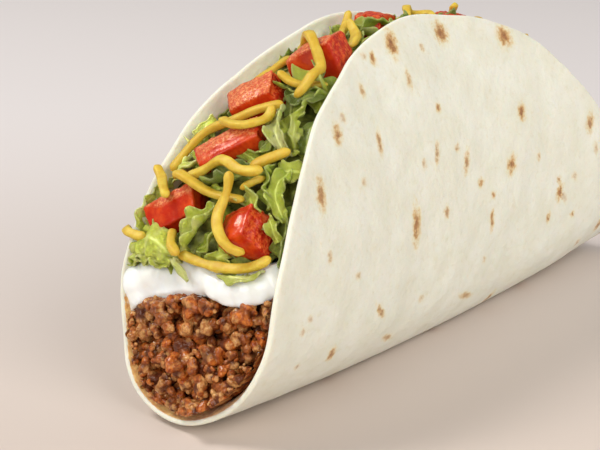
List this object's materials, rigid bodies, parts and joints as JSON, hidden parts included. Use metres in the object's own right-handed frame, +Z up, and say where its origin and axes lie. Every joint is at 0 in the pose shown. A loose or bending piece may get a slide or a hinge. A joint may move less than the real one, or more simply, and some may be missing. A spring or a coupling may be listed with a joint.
{
  "type": "soft taco",
  "caption": "Soft flour tortilla folded round minced beef, sour cream, shredded lettuce, diced tomato and shredded cheese, standing on its fold.",
  "frame": {"origin": "under the middle of the taco's box, on the surface it stands on", "axes": "+X along the fold towards the back end, +Y across the flaps towards the far flap, +Z up"},
  "size_m": [0.1576, 0.0474, 0.076],
  "materials": {
    "tortilla": "dry floury flatbread, cream white with small toasted spots",
    "beef": "seasoned minced beef in moist brown crumbles",
    "sour_cream": "smooth, thick and softly glossy",
    "lettuce": "crisp shredded leaves, pale green ribs to dark green edges",
    "tomato": "wet diced tomato, smooth skin and grainy cut flesh",
    "cheese": "satin shredded cheddar, orange yellow"
  },
  "bodies": {
    "root": {"tortilla": "tortilla", "beef": "beef", "sour_cream": "sour_cream", "lettuce": "lettuce", "tomato_01": "tomato", "tomato_02": "tomato", "tomato_03": "tomato", "tomato_04": "tomato", "tomato_05": "tomato", "tomato_06": "tomato", "tomato_07": "tomato", "tomato_08": "tomato", "tomato_09": "tomato", "tomato_10": "tomato", "tomato_11": "tomato", "cheese_01": "cheese", "cheese_02": "cheese", "cheese_03": "cheese", "cheese_04": "cheese", "cheese_05": "cheese", "cheese_06": "cheese", "cheese_07": "cheese", "cheese_08": "cheese", "cheese_09": "cheese", "cheese_10": "cheese", "cheese_11": "cheese", "cheese_12": "cheese", "cheese_13": "cheese", "cheese_14": "cheese", "cheese_15": "cheese", "cheese_16": "cheese", "cheese_17": "cheese", "cheese_18": "cheese", "cheese_19": "cheese", "cheese_20": "cheese", "cheese_21": "cheese", "cheese_22": "cheese", "cheese_23": "cheese", "cheese_24": "cheese", "cheese_25": "cheese", "cheese_26": "cheese", "cheese_27": "cheese"}
  },
  "joints": []
}
